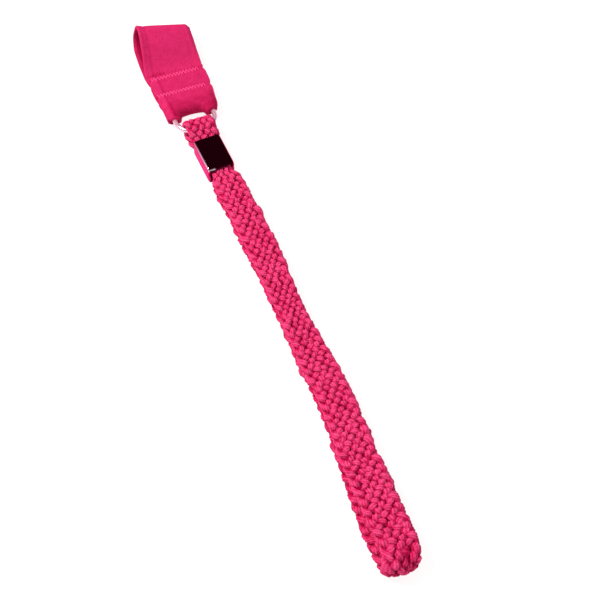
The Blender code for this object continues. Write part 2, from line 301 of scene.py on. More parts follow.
def cloth_grain_group():
    """Colour and height of spun yarn: broad soft patches, and fine fibres on their own coordinates."""
    if "cloth_grain" in bpy.data.node_groups:
        return bpy.data.node_groups["cloth_grain"]
    inputs = (
        ("Patch Vector", "Vector", None), ("Fibre Vector", "Vector", None), ("Light", "Color", None),
        ("Dark", "Color", None), ("Mask", "Float", 1.0), ("Patch Amount", "Float", 0.2), ("Fibre Amount", "Float", 0.2),
    )
    tree, source, result = new_group("cloth_grain", inputs, (("Color", "Color", None), ("Height", "Float", None)))
    link = tree.links.new
    lost = add_node(tree, "ShaderNodeMath", (60, 50), operation="ADD")
    for i, (name, detail, low) in enumerate((("Patch", 3.0, 0.32), ("Fibre", 2.0, 0.30))):
        y = 200 - 350 * i
        noise = add_node(tree, "ShaderNodeTexNoise", (-600, y), {"Scale": 1.0, "Detail": detail})
        spread = add_node(tree, "ShaderNodeMapRange", (-380, y), {"From Min": low, "From Max": 1 - low})
        share = add_node(tree, "ShaderNodeMath", (-160, y), operation="MULTIPLY")
        link(source.outputs[f"{name} Vector"], noise.inputs["Vector"])
        link(noise.outputs["Fac"], spread.inputs["Value"])
        link(spread.outputs["Result"], share.inputs[0])
        link(source.outputs[f"{name} Amount"], share.inputs[1])
        link(share.outputs[0], lost.inputs[i])
    # the mask carries the piece's painted light and shade; random patches and fibres are taken off it
    kept = add_node(tree, "ShaderNodeMath", (260, 100), operation="SUBTRACT", use_clamp=True)
    dyed = add_node(tree, "ShaderNodeMix", (480, 100), data_type="RGBA")
    link(source.outputs["Mask"], kept.inputs[0])
    link(lost.outputs[0], kept.inputs[1])
    link(kept.outputs[0], dyed.inputs["Factor"])
    link(source.outputs["Dark"], dyed.inputs["A"])
    link(source.outputs["Light"], dyed.inputs["B"])
    link(dyed.outputs["Result"], result.inputs["Color"])
    link(spread.outputs["Result"], result.inputs["Height"])  # of the fibres
    return tree


def handling_group():
    """Fine scratches and finger dulling of a polished metal, as roughness and height."""
    if "handling" in bpy.data.node_groups:
        return bpy.data.node_groups["handling"]
    inputs = (
        ("Polish", "Float", 0.08), ("Dulling", "Float", 0.15),
        ("Smear Scale", "Float", 220.0), ("Scratch Scale", "Float", 1400.0),
    )
    tree, source, result = new_group("handling", inputs, (("Roughness", "Float", None), ("Height", "Float", None)))
    link = tree.links.new
    place = add_node(tree, "ShaderNodeTexCoord", (-1000, 200))
    stretch = add_node(tree, "ShaderNodeMapping", (-800, 250), {"Scale": (1.0, 0.08, 1.0)})
    smears = add_node(tree, "ShaderNodeTexNoise", (-550, 150))
    scratches = add_node(tree, "ShaderNodeTexNoise", (-550, -150))
    both = add_node(tree, "ShaderNodeMath", (-300, 0), operation="MULTIPLY")
    rough = add_node(tree, "ShaderNodeMath", (-60, 0), operation="MULTIPLY_ADD")
    link(place.outputs["Object"], stretch.inputs["Vector"])
    link(place.outputs["Object"], smears.inputs["Vector"])
    link(stretch.outputs["Vector"], scratches.inputs["Vector"])
    link(source.outputs["Smear Scale"], smears.inputs["Scale"])
    link(source.outputs["Scratch Scale"], scratches.inputs["Scale"])
    link(smears.outputs["Fac"], both.inputs[0])
    link(scratches.outputs["Fac"], both.inputs[1])
    link(both.outputs[0], rough.inputs[0])
    link(source.outputs["Dulling"], rough.inputs[1])
    link(source.outputs["Polish"], rough.inputs[2])
    link(rough.outputs[0], result.inputs["Roughness"])
    link(scratches.outputs["Fac"], result.inputs["Height"])
    return tree


def new_finish(name):
    finish = bpy.data.materials.new(name)
    finish.use_nodes = True
    return finish, finish.node_tree, finish.node_tree.nodes["Principled BSDF"]


def bump(tree, shader, height, distance):
    node = add_node(tree, "ShaderNodeBump", (-250, -300), {"Distance": distance, "Strength": 1.0})
    tree.links.new(height, node.inputs["Height"])
    tree.links.new(node.outputs["Normal"], shader.inputs["Normal"])


def cloth_finish(name, light, dark, mask, patches, fibres, amounts, rough, height):
    """Yarn or woven cloth. mask names the attribute of painted light and shade, 1 on a fully lit crest; fibres scales
    the UV map, or the object.
    """
    finish, tree, shader = new_finish(name)
    set_inputs(shader, {"Roughness": rough, "Specular IOR Level": 0.04})
    place = add_node(tree, "ShaderNodeTexCoord", (-1100, 0))
    grain = add_node(tree, "ShaderNodeGroup", (-500, 0), node_tree=cloth_grain_group())
    set_inputs(grain, {"Light": (*light, 1.0), "Dark": (*dark, 1.0)})
    set_inputs(grain, {"Patch Amount": amounts[0], "Fibre Amount": amounts[1]})
    rows = (("Patch Vector", "Object", (patches,) * 3, 0), ("Fibre Vector", "UV" if mask else "Object", fibres, -300))
    for socket, source, scale, y in rows:
        scaled = add_node(tree, "ShaderNodeMapping", (-800, y), {"Scale": scale})
        tree.links.new(place.outputs[source], scaled.inputs["Vector"])
        tree.links.new(scaled.outputs["Vector"], grain.inputs[socket])
    if mask:
        painted_light = add_node(tree, "ShaderNodeAttribute", (-800, 300), attribute_name=mask)
        tree.links.new(painted_light.outputs["Fac"], grain.inputs["Mask"])
    tree.links.new(grain.outputs["Color"], shader.inputs["Base Color"])
    bump(tree, shader, grain.outputs["Height"], height)
    return finish


def handle_metal(tree, shader, polish, dulling, depth):
    """Gives a metal finish its scratches and its finger dulling."""
    handled = add_node(tree, "ShaderNodeGroup", (-500, -200), node_tree=handling_group())
    set_inputs(handled, {"Polish": polish, "Dulling": dulling})
    tree.links.new(handled.outputs["Roughness"], shader.inputs["Roughness"])
    bump(tree, shader, handled.outputs["Height"], depth)


def mixed_by(tree, attribute, there, place):
    """A mix node that brings the colour there in where the piece's attribute is 1."""
    share = add_node(tree, "ShaderNodeAttribute", (place[0] - 400, place[1]), attribute_name=attribute)
    mix = add_node(tree, "ShaderNodeMix", place, data_type="RGBA")
    set_inputs(mix, {"B": (*there, 1.0)})
    tree.links.new(share.outputs["Fac"], mix.inputs["Factor"])
    return mix


def crimp_finish(colours):
    """Dark enamel on the broad faces, a painted reflection on the narrow sides, and painted glints on the left corner
    and the far lip.
    """
    finish, tree, shader = new_finish("wine_enamel")
    set_inputs(shader, {"Metallic": 1.0, "Specular Tint": (0.85, 0.34, 0.60, 1.0)})
    # painted reflection on the narrow sides, then painted glints over it
    side_reflected = mixed_by(tree, "side", colours.crimp_side_reflection, (-400, 200))
    set_inputs(side_reflected, {"A": (*colours.crimp, 1.0)})
    glinted = mixed_by(tree, "painted_glint", colours.glint_colour, (-200, 400))
    tree.links.new(side_reflected.outputs["Result"], glinted.inputs["A"])
    tree.links.new(glinted.outputs["Result"], shader.inputs["Base Color"])
    handle_metal(tree, shader, polish=0.10, dulling=0.12, depth=2e-6)
    return finish


def chrome_finish(colours):
    """Plated wire, not wholly metallic, because it would mirror a bright room that the stage doesn't have."""
    finish, tree, shader = new_finish("chromed_wire")
    set_inputs(shader, {"Metallic": 0.8, "Base Color": (*colours.chrome, 1.0)})
    handle_metal(tree, shader, polish=0.12, dulling=0.20, depth=1.5e-6)
    return finish


# -------- stage


FLOOR_SIZE = 6.0
WORLD_STRENGTH = 0.42
FLOOR_GLOW = 0.86
LIGHTS = (("key", (-0.55, 0.35, 0.9), 0.35, 14.0), ("fill", (0.6, -0.5, 0.8), 0.8, 2.0))  # place, width and power
LENS, FILM_WIDTH = 143.0, 36.0  # in mm
VIEW_AZIMUTH, VIEW_ELEVATION = radians(-19.5), radians(55.0)
VIEW_TARGET, VIEW_DISTANCE = (0.0078, -0.0115, 0.003), 0.790


def area_light(name, place, size, power):
    light = bpy.data.lights.new(name, "AREA")
    light.shape = "DISK"
    light.size = size
    light.energy = power
    lamp = new_object(name, light)
    lamp.location = place
    lamp.rotation_euler = (-Vector(place)).to_track_quat("-Z", "Y").to_euler()


class WRISTSTRAP_OT_stage(Operator):
    """Make the pale floor, the soft light and the camera"""

    bl_idname = "wriststrap.stage"
    bl_label = "Make stage"

    def execute(self, context):
        scene = context.scene
        scene.view_settings.view_transform = "Standard"
        world = bpy.data.worlds.new("studio")
        world.use_nodes = True
        white = (1.0, 1.0, 1.0, 1.0)
        set_inputs(world.node_tree.nodes["Background"], {"Color": white, "Strength": WORLD_STRENGTH})
        scene.world = world
        deselect()
        bpy.ops.mesh.primitive_plane_add(size=FLOOR_SIZE, location=(0.0, 0.0, 0.0))
        floor = context.active_object
        floor.name = "floor"
        paint, _, shader = new_finish("pale_floor")
        set_inputs(shader, {"Base Color": (0.25, 0.25, 0.25, 1.0), "Roughness": 0.9, "Specular IOR Level": 0.1})
        set_inputs(shader, {"Emission Color": white, "Emission Strength": FLOOR_GLOW})
        floor.data.materials.append(paint)
        for light in LIGHTS:
            area_light(*light)
        camera = bpy.data.cameras.new("camera")
        camera.lens = LENS
        camera.sensor_width = FILM_WIDTH
        view = new_object("camera", camera)
        level = cos(VIEW_ELEVATION)
        back = Vector((sin(VIEW_AZIMUTH) * level, -cos(VIEW_AZIMUTH) * level, sin(VIEW_ELEVATION)))
        view.location = Vector(VIEW_TARGET) + back * VIEW_DISTANCE
        view.rotation_mode = "QUATERNION"
        view.rotation_quaternion = back.to_track_quat("Z", "Y")
        scene.camera = view
        return {"FINISHED"}


# -------- braid


BRAID_WIDTH = 11.0 * MM  # of the flat braid before it is laid along its route
BRAID_THICKNESS = 3.0 * MM
CRIMPED_WIDTH = 7.0 * MM
CRIMPED_THICKNESS = 2.15 * MM
RING_LOOP_WIDER, RING_LOOP_THICKER = 3.7 * MM, 0.35 * MM  # than it is in the crimp
# painted light of a yarn's top and side, and painted shade in the hollows between strands
CREST_LIGHT, GROOVE_LIGHT, HOLLOW_LIGHT = 1.38, 0.78, 0.44  # of a yarn's top and side, and between strands
STRAND_ROWS = 1030
BRAID_SEED = 11
DENT_X, DENT_Y, DENT_REACH = 6.2, -115.4, 3.0  # in the far fold's outer face, in mm


def braid_route():
    """The braid's middle line in the YZ plane: crimp, ring, crimp, lower run, fold, upper run, crimp."""
    floor = BRAID_THICKNESS / 2
    upper = floor + BRAID_THICKNESS + RUN_GAP
    top = WRIST_FOLD_HEIGHT - floor
    radius = (top - floor) / 2
    fold = WRIST_FOLD_Y + floor + radius
    middle = CRIMP_TOP_Y - CRIMP_LENGTH / 2
    mouth, foot = CRIMP_TOP_Y + 0.4 * MM, CRIMP_FOOT_Y - 0.4 * MM
    start, end = middle + 0.8 * MM, middle - 0.8 * MM
    landed, level, rising = foot - 4.5 * MM, fold + 75 * MM, foot - 22 * MM
    parts = [
        line((start, CRIMP_UPPER_Z), (mouth, CRIMP_UPPER_Z), 12),
        line((mouth, CRIMP_UPPER_Z), (RING_FOOT_Y, RING_FOOT_Z + LOOP_RADIUS), 16, eased=True),
        arc((RING_FOOT_Y, RING_FOOT_Z), LOOP_RADIUS, pi / 2, -pi / 2, 32),
        line((RING_FOOT_Y, RING_FOOT_Z - LOOP_RADIUS), (mouth, CRIMP_LOWER_Z), 16, eased=True),
        line((mouth, CRIMP_LOWER_Z), (foot, CRIMP_LOWER_Z), 24),
        line((foot, CRIMP_LOWER_Z), (landed, floor), 12, eased=True),
        line((landed, floor), (fold, floor), 120),
        arc((fold, floor + radius), radius, -pi / 2, -3 * pi / 2, 36),
        line((fold, top), (level, upper), 70, eased=True),
        line((level, upper), (rising, upper), 40),
        line((rising, upper), (foot, CRIMP_UPPER_Z), 30, eased=True),
        line((foot, CRIMP_UPPER_Z), (end, CRIMP_UPPER_Z), 12),
        [[end, CRIMP_UPPER_Z]],
    ]
    return np.concatenate(parts)


def braid_course():
    """The route in space, its normals, the distance along it, and the braid's width and thickness on it."""
    route = braid_route()
    y, z = route[:, 0], route[:, 1]
    raised = ease((z - BRAID_THICKNESS / 2) / (WRIST_FOLD_HEIGHT - BRAID_THICKNESS))
    to_right = 1.4 * MM * raised * ease((-70 * MM - y) / (25 * MM))
    points = np.stack([SLEEVE_X + along(PLAN, y) + to_right, y, z], 1)
    slope = np.gradient(route, axis=0)
    normals = unit(np.stack([np.zeros(len(y)), -slope[:, 1], slope[:, 0]], 1))
    steps = np.linalg.norm(np.diff(points, axis=0), axis=1)
    distance = np.concatenate([[0.0], np.cumsum(steps)])
    at_ring = ease((y - CRIMP_TOP_Y + 0.1 * MM) / (1.4 * MM))
    below = ease((CRIMP_FOOT_Y - 0.2 * MM - y) / (5.0 * MM))
    width = CRIMPED_WIDTH + at_ring * RING_LOOP_WIDER + below * (along(WIDTHS, y) - CRIMPED_WIDTH)
    thickness = CRIMPED_THICKNESS + at_ring * RING_LOOP_THICKER + below * (BRAID_THICKNESS - CRIMPED_THICKNESS)
    return points, normals, distance, width, thickness


def strand_course(sizes, number, distance):
    """One strand in the flat braid: how far across and up it is, and how much it floats on a face."""
    strands = sizes.strands
    slot = (2 * strands * distance / sizes.plait_pitch + 2 * number) % (2 * strands)
    back = slot > strands
    from_left = np.where(back, 2 * strands - slot, slot)
    edge = np.minimum(from_left, strands - from_left)
    turn = 1.1  # slots over which a strand turns at an edge
    rounded = np.where(edge < turn, (edge**2 + turn**2) / (2 * turn), edge)
    reach = (BRAID_WIDTH - 0.8 * sizes.strand_width) / 2 / (1 - turn / strands)
    side = np.where(from_left < strands / 2, -1.0, 1.0)
    across = side * reach * (1 - 2 * rounded / strands)
    own = np.where(back, slot - strands, slot)
    sign = np.where(back, -1.0, 1.0)
    up = sign * np.cos(pi * own)
    near_right = np.abs(slot - strands) < 1
    up = np.where(near_right, -np.cos(pi / 2 * (slot - strands + 1)), up)
    past_left = np.where(back, slot - 2 * strands, slot)
    up = np.where(np.abs(past_left) < 1, np.cos(pi / 2 * (past_left + 1)), up)
    lift = (BRAID_THICKNESS - sizes.strand_thickness) / 2
    return across, up * lift, np.abs(up)


def make_strand(sizes, number, total, wander):
    """Points of one strand of twisted yarns in the flat braid, its pattern places, and the painted light of its yarns'
    crests and grooves.
    """
    distance = np.linspace(0.0, total, STRAND_ROWS)
    across, up, float_share = strand_course(sizes, number, distance)
    phases = [wander.uniform(0, 2 * pi) for _ in range(6)]
    across = across + wave(distance, 0.22 * MM, 5.3, phases[0]) + wave(distance, 0.18 * MM, 2.1, phases[1])
    up = up + wave(distance, 0.12 * MM, 3.7, phases[2])
    plump = 0.86 + 0.17 * float_share + wave(distance, 0.06, 1.9, phases[3]) + wave(distance, 0.05, 6.1, phases[4])
    middle = np.stack([across, distance, up], 1)
    tangent = unit(np.gradient(middle, axis=0))
    side = unit(np.cross(tangent, (0.0, 0.0, 1.0)))
    rise = np.cross(side, tangent)
    length = np.concatenate([[0.0], np.cumsum(np.linalg.norm(np.diff(middle, axis=0), axis=1))])
    per_yarn = (0.80, 1.0)  # how far out its groove and its crest are
    # painted light: 1 on each yarn's crest, 0 in its groove, which gets painted shade
    painted_light = np.tile((0.0, 1.0), sizes.yarns)
    around = np.arange(len(per_yarn) * sizes.yarns) * 2 * pi / (len(per_yarn) * sizes.yarns)
    slack = wave(length, 0.45, 1.3, phases[4]) + wave(length, 0.7, 3.1, phases[0])
    twist = 1 if number % 2 else -1
    turn = around[None, :] + (twist * 2 * pi * length / sizes.twist_pitch + phases[5] + slack)[:, None]
    lumps = [
        wave(length, 0.05, 0.35, wander.uniform(0, 2 * pi)) + wave(length, 0.08, 1.1, wander.uniform(0, 2 * pi))
        for _ in range(sizes.yarns)
    ]
    bulge = (np.tile(per_yarn, sizes.yarns) + np.repeat(lumps, len(per_yarn), axis=0).T) * plump[:, None]
    wide = sizes.strand_width / 2 * np.cos(turn) * bulge
    deep = sizes.strand_thickness / 2 * np.sin(turn) * bulge
    points = middle[:, None] + side[:, None] * wide[..., None] + rise[:, None] * deep[..., None]
    uv = np.stack(np.broadcast_arrays(around[None, :] / (2 * pi), length[:, None] / sizes.twist_pitch), -1)
    painted_lights = np.broadcast_to(painted_light, turn.shape)
    return points.reshape(-1, 3), uv.reshape(-1, 2), painted_lights.ravel(), turn.shape


def lay_along(flat, course):
    """Points of the flat braid laid along its route, squeezed to the width and thickness it has there."""
    points, normals, distance, width, thickness = course
    at = np.clip(flat[:, 1], 0.0, distance[-1])
    beyond = flat[:, 1] - at
    place = np.stack([np.interp(at, distance, points[:, i]) for i in range(3)], 1)
    normal = unit(np.stack([np.interp(at, distance, normals[:, i]) for i in range(3)], 1))
    across = flat[:, 0] * np.interp(at, distance, width) / BRAID_WIDTH
    up = flat[:, 2] * np.interp(at, distance, thickness) / BRAID_THICKNESS
    place = place + normal * up[:, None]
    place[:, 0] += across
    place[:, 1] += beyond * np.where(at > distance[-1] / 2, 1.0, -1.0)
    return shape_wrist_fold(place)


def wrist_dent(x, y, z):
    """1 in the middle of the dent in the far fold's outer face, falling to 0 round it; the place is in mm."""
    return np.exp(-(((x - DENT_X) / DENT_REACH) ** 2) - ((y - DENT_Y) / DENT_REACH) ** 2) * ease((z - 3.0) / 2.5)


def shape_wrist_fold(place):
    """Bulges the far fold out, rounds its corners and presses a ridge and a dent into its outer face."""
    x, y, z = place.T / MM  # so the numbers below are in mm
    end = ease((-109.0 - y) / 8.0)
    dent = 2.8 * wrist_dent(x, y, z)
    ridge = 0.7 * np.exp(-(((x - 0.9) / 1.5) ** 2)) * ease((-110.0 - y) / 3.0) * ease((z - 4.0) / 3.0)
    place[:, 0] += 0.8 * MM * ease((-100.0 - y) / 10.0)
    corners = 0.045 * np.maximum(x - 2.5, 0) ** 2 + 0.11 * np.maximum(1.2 - x, 0) ** 2
    place[:, 1] += (0.55 * dent - 0.5 * ridge - end * (2.1 - corners)) * MM
    place[:, 2] += (0.5 * ridge - 0.8 * dent) * MM
    return place


class WRISTSTRAP_OT_braid(Operator):
    """Plait the braid strand by strand along its route"""

    bl_idname = "wriststrap.braid"
    bl_label = "Make braid"

    def execute(self, context):
        sizes, colours = settings(context)
        course = braid_course()
        total = course[2][-1]
        wander = Random(BRAID_SEED)
        points, places, painted_lights, faces, start = [], [], [], [], 0
        for number in range(sizes.strands):
            strand, uv, painted_light, (rows, columns) = make_strand(sizes, number, total, wander)
            grid = start + np.arange(rows * columns).reshape(rows, columns)
            here, round_next = grid[:-1], np.roll(grid, -1, axis=1)[:-1]
            there, there_next = grid[1:], np.roll(grid, -1, axis=1)[1:]
            quads = np.stack([here, round_next, there_next, there], -1).reshape(-1, 4)
            faces += quads[:, ::-1].tolist() + [grid[0].tolist(), grid[-1][::-1].tolist()]
            points.append(strand)
            places.append(uv)
            painted_lights.append(painted_light)
            start += rows * columns
        flat = np.concatenate(points)
        laid = lay_along(flat, course)
        # painted light and shade: light near the braid's outside, painted shade in the hollows between strands, on the
        # lower run under the upper run, and in the far fold's dent
        from_middle = np.abs(flat[:, 2]) / (BRAID_THICKNESS / 2)
        from_edge = 1 + (np.abs(flat[:, 0]) - BRAID_WIDTH / 2) / (1.3 * MM)
        outside = ease((np.maximum(from_middle, from_edge) - 0.35) / 0.60)
        lower = ease((WRIST_FOLD_HEIGHT / 2 - laid[:, 2]) / (1.5 * MM)) * (laid[:, 1] < CRIMP_FOOT_Y)
        shade = 1 - 0.10 * lower - 0.45 * wrist_dent(*(laid.T / MM))
        yarn = cloth_finish(
            "braid_yarn", colours.braid, colours.braid_shade, "painted_light", patches=420.0, fibres=(30.0, 27.0, 1.0),
            amounts=(0.20, 0.75), rough=0.7, height=105e-6,
        )
        braid = new_piece("braid", laid, faces, yarn, np.concatenate(places))
        # painted light on the yarns' crests and painted shade in their grooves, times the painted shade above
        light = GROOVE_LIGHT + (CREST_LIGHT - GROOVE_LIGHT) * np.concatenate(painted_lights)
        point_values(braid, "painted_light", light * (HOLLOW_LIGHT + (1 - HOLLOW_LIGHT) * outside) * shade)
        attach(braid, "strap")
        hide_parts("braided_strap")
        return {"FINISHED"}


# -------- elastic sleeve


# The band's left and right edges from its middle plane, at rows along it, and how far its tunnel droops past
# the bar on top and underneath, at places across it, all in mm
BAND_EDGES = [
    (0, -8.6, 9.0), (10, -9.8, 9.8), (20, -10.5, 9.8), (31, -10.2, 10.0), (44, -9.3, 10.0), (64, -8.3, 10.1),
    (76, -8.1, 10.4), (88, -9.2, 10.4), (100, -10.2, 10.0), (110, -10.6, 9.8), (132, -10.2, 9.6),
    (150, -9.8, 9.6), (166, -9.2, 9.4), (202, -9.2, 9.5), (216, -9.7, 9.9), (232, -9.8, 10.0),
    (250, -10.2, 9.8),
]
DROOP_OVER = [
    (-10, 2.6), (-8.6, 2.6), (-6.8, 2.3), (-5.4, 1.2), (-3.8, 0.1), (0, 0), (3.2, 0.1), (4.8, 1.4),
    (6.2, 1.7), (7.6, 2.3), (9, 2.7), (10, 2.5),
]
DROOP_UNDER = [(-10, 2.4), (-8.8, 2.4), (-7.2, 1.2), (-5, 0.5), (0, 0), (5, 0.8), (8, 1.7), (10, 2.0)]
MOUTH_X = (-10.0, -4.4, 4.4, 10.0)  # places across the band, and where the ring's arms squeeze them to, in mm
MOUTH_SQUEEZED = (-5.7, -4.4, 4.4, 5.7)
TUNNEL_ROWS = 36  # of the band's rows, those round the bar's far side, and then those of the flap
FLAP_ROWS = 49
CUT_END_ROWS = (13, 40)  # of the front run, those beside the flap's cut end
SLEEVE_HEIGHT, SLEEVE_RISE = 7.9, 2.9  # of the loop at its right side, and how much more at its left, in mm
TUNNEL_END_Y = BAR_Y + 4.5 * MM
FLAP_END_Y = UPPER_SEAM_Y + 1.2 * MM
SEAM_REACH = 0.9 * MM


def band_rows(side, sizes):
    """The band's middle line in the YZ plane at one place across it: front, fold, back, tunnel and flap."""
    left = (1 - side) / 2
    floor = sizes.band_thickness / 2
    corner = ease((side - 0.84) / 0.16)
    peak = 0.38 * np.exp(-(((side + 0.98) / 0.07) ** 2)) - 0.10 * np.exp(-(((side + 0.76) / 0.08) ** 2))
    height = (SLEEVE_HEIGHT + SLEEVE_RISE * left + peak - corner) * MM
    radius = height / 2 - floor
    fold = SLEEVE_FOLD_Y - (3.4 * (1 - left) + 0.9 * corner) * MM - floor - radius
    front, lifted, flat = UPPER_SEAM_Y + 1.6 * MM, UPPER_SEAM_Y + 1 * MM, UPPER_SEAM_Y + 5 * MM
    parts = [
        line((LOWER_SEAM_Y - 3.4 * MM, MIDDLE_Z), (front, MIDDLE_Z), 20),
        line((front, MIDDLE_Z), (fold, height - floor), 44, eased=True),
        arc((fold, floor + radius), radius, pi / 2, -pi / 2, 36),
        line((fold, floor), (flat, floor), 14),
        line((flat, floor), (lifted, BACK_Z), 18, eased=True),
        line((lifted, BACK_Z), (BAR_Y, BACK_Z), 34),
        arc((BAR_Y, BAR_Z), TUNNEL_RADIUS, -pi / 2, -3 * pi / 2, TUNNEL_ROWS),
        line((BAR_Y, BAR_Z + TUNNEL_RADIUS), (TUNNEL_END_Y, FLAP_Z), 14, eased=True),
        line((TUNNEL_END_Y, FLAP_Z), (FLAP_END_Y, FLAP_Z), 34),
        [[FLAP_END_Y, FLAP_Z]],
    ]
    return np.concatenate(parts)


def band_middle(sides, sizes):
    """The middle surface of the band: rows along it, columns across it."""
    surface = []
    for side in sides:
        y, z = band_rows(side, sizes).T
        at = np.arange(len(y)) * MM
        left, right = (along([(row[0], row[k]) for row in BAND_EDGES], at) for k in (1, 2))
        across = side * 10 * MM
        down = np.clip((BAR_Y - y) / TUNNEL_RADIUS, 0.0, 1.0)
        rise = np.where(down > 0, (z - BAR_Z) / TUNNEL_RADIUS, 0.0)
        over, under = along(DROOP_OVER, across), along(DROOP_UNDER, across)
        outer = ease((abs(side) - 0.4) / 0.3)
        boxy = np.sign(rise) * np.abs(rise) ** (1 - 0.5 * outer) * (1 + 0.24 * outer * ease(down / 0.6))
        z = np.where(down > 0, BAR_Z + TUNNEL_RADIUS * boxy, z)
        y = y - (under + (over - under) * ease((rise + 1) / 2)) * down
        pinch = seam_pull(y) * 0.45 * MM * ease((abs(side) - 0.75) / 0.25) * np.sign(side)
        x = (left + right) / 2 + side * (right - left) / 2 - pinch
        x = x - 0.9 * MM * down**2 * ease((side - 0.6) / 0.4)
        squeezed = np.interp(x / MM, MOUTH_X, MOUTH_SQUEEZED) * MM
        x = x + (squeezed - x) * ease((down - 0.80) / 0.20)
        # beyond the ring's arms the tunnel's two layers lie nearly shut
        shut = 0.60 * ease((abs(side) - 0.78) / 0.18) * ease((BAR_Y + 6 * MM - y) / (3.5 * MM))
        z = z + (BAR_Z - z) * shut
        surface.append(np.stack([SLEEVE_X + x, y, np.maximum(z, sizes.band_thickness / 2 + 0.08 * MM)], 1))
    return np.stack(surface, 1)


def band_relief(sides, sizes):
    """How far the band's faces stand out at each place across it: ribs, and a groove beside each selvedge."""
    from_edge = (1 - np.abs(sides)) * sizes.band_width / 2
    rib = 0.04 * MM * (np.abs(np.sin(pi * sizes.ribs * (sides + 1) / 2)) - 0.5)
    plain = ease((sizes.selvedge - from_edge) / (0.3 * MM))
    groove = 0.12 * MM * np.exp(-(((from_edge - sizes.selvedge) / (0.7 * MM)) ** 2))
    return rib * (1 - plain) + (0.05 * MM * plain - groove) * np.where(sides < 0, 1.0, 0.3)


def pucker(sides):
    """1 on each short fold that the stitches draw up across the band, 0 between them."""
    return 0.5 - 0.5 * np.cos(2 * pi * 13.5 * sides + 1.5 * np.sin(5 * sides))


def seam_pull(y):
    """1 on a seam, falling to 0 beside it."""
    return sum(np.exp(-(((y - seam) / SEAM_REACH) ** 2)) for seam in (UPPER_SEAM_Y, LOWER_SEAM_Y))


def band_painted_light(middle, sides, sizes):
    """How light the band is on its outer and its inner face, as painted light and shade: painted shade in grooves,
    round the tunnel, under folds and inside the loop, and a painted highlight on the left selvedge.
    """
    y = middle[..., 1]
    rows, columns = y.shape
    row = np.arange(rows)[:, None]
    # painted shade in the grooves beside the selvedges, lighter on the ribs, and a painted highlight on the left
    # selvedge
    outer = 0.95 + band_relief(sides, sizes) / (0.40 * MM) + 0.25 * ease((-0.70 - sides) / 0.12)
    outer = np.broadcast_to(outer, (rows, columns)).copy()
    round_bar = row >= rows - FLAP_ROWS - TUNNEL_ROWS
    # painted shade: the band round the bar is darker towards the bar
    outer -= 0.42 * ease((TUNNEL_END_Y - y) / (6 * MM)) * round_bar
    # the flap is a little darker all over, with painted shade in the puckers beside the seams
    outer -= (0.12 + 0.22 * pucker(sides) * seam_pull(y)) * (row > rows - FLAP_ROWS)
    # painted shadow: the flap's cut end shades the band where that comes out from under it
    ragged = 0.1 - 0.9 * sides + 0.4 * np.sin(29 * sides) * np.sin(17 * sides + 1)
    beside_end = (row >= CUT_END_ROWS[0]) & (row < CUT_END_ROWS[1])
    end = np.exp(-(((y - UPPER_SEAM_Y - 3.0 * MM) / (0.6 * MM)) ** 2)) * beside_end
    outer -= 0.75 * end * np.clip(ragged, 0, 1)
    # painted shade inside the loop: the inner face is dark except near its edges
    from_edge = (1 - np.abs(sides)) * sizes.band_width / 2
    inner = np.broadcast_to(0.75 * ease((1.25 * MM - from_edge) / (0.5 * MM)), (rows, columns))
    return np.clip(outer, 0, 1), inner


class WRISTSTRAP_OT_sleeve(Operator):
    """Fold the elastic band into the sleeve and the tunnel round the ring's bar"""

    bl_idname = "wriststrap.sleeve"
    bl_label = "Make elastic sleeve"

    def execute(self, context):
        sizes, colours = settings(context)
        columns = 5 * sizes.ribs + 1
        sides = np.linspace(-1, 1, columns)
        middle = band_middle(sides, sizes)
        rows = len(middle)
        run, cross = np.gradient(middle, axis=0), np.gradient(middle, axis=1)
        normal = unit(np.cross(cross, run))
        relief = np.broadcast_to(band_relief(sides, sizes), (rows, columns))
        press = (0.10 + 0.14 * pucker(sides)) * MM * seam_pull(middle[..., 1])
        press = press * (np.arange(rows) > rows - FLAP_ROWS)[:, None]
        half = sizes.band_thickness / 2
        outer = middle + normal * (half + relief - press)[..., None]
        inner = middle - normal * (half + relief * 0.6)[..., None]
        edge = unit(cross) * 0.22 * MM
        left = (outer[:, 0] + inner[:, 0]) / 2 - edge[:, 0]
        right = (outer[:, -1] + inner[:, -1]) / 2 + edge[:, -1]
        ring = np.concatenate([outer, right[:, None], inner[:, ::-1], left[:, None]], 1)
        count = ring.shape[1]
        grid = np.arange(rows * count).reshape(rows, count)
        step = np.roll(grid, -1, axis=1)
        faces = np.stack([grid[:-1], grid[1:], step[1:], step[:-1]], -1).reshape(-1, 4).tolist()
        for end, turned in ((grid[0], 1), (grid[-1], -1)):
            for i in range(columns - 1):
                a, b = end[i], end[i + 1]
                c, d = end[2 * columns - i - 1], end[2 * columns - i]
                faces.append([a, b, c, d][::turned])
            faces.append([end[columns - 1], end[columns], end[columns + 1]][::turned])
            faces.append([end[2 * columns], end[-1], end[0]][::turned])
        light, inside = band_painted_light(middle, sides, sizes)
        rim = np.full((rows, 1), 0.8)
        painted_lights = np.concatenate([light, rim, inside[:, ::-1], rim], 1)
        length = np.concatenate([[0], np.cumsum(np.linalg.norm(np.diff(middle[:, columns // 2], axis=0), axis=1))])
        across = np.concatenate([sides, [1.02], sides[::-1], [-1.02]]) * sizes.band_width / 2
        uv = np.stack(np.broadcast_arrays(across[None], length[:, None]), -1).reshape(-1, 2)
        knit = cloth_finish(
            "elastic_knit", colours.elastic, colours.elastic_shade, "painted_light", patches=420.0,
            fibres=(2200.0, 1300.0, 1.0), amounts=(0.20, 0.28), rough=0.85, height=60e-6,
        )
        band = new_piece("elastic_sleeve", ring.reshape(-1, 3), faces, knit, uv)
        point_values(band, "painted_light", painted_lights.ravel())
        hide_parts("elastic_band")
        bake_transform(band)
        return {"FINISHED"}


# -------- seams


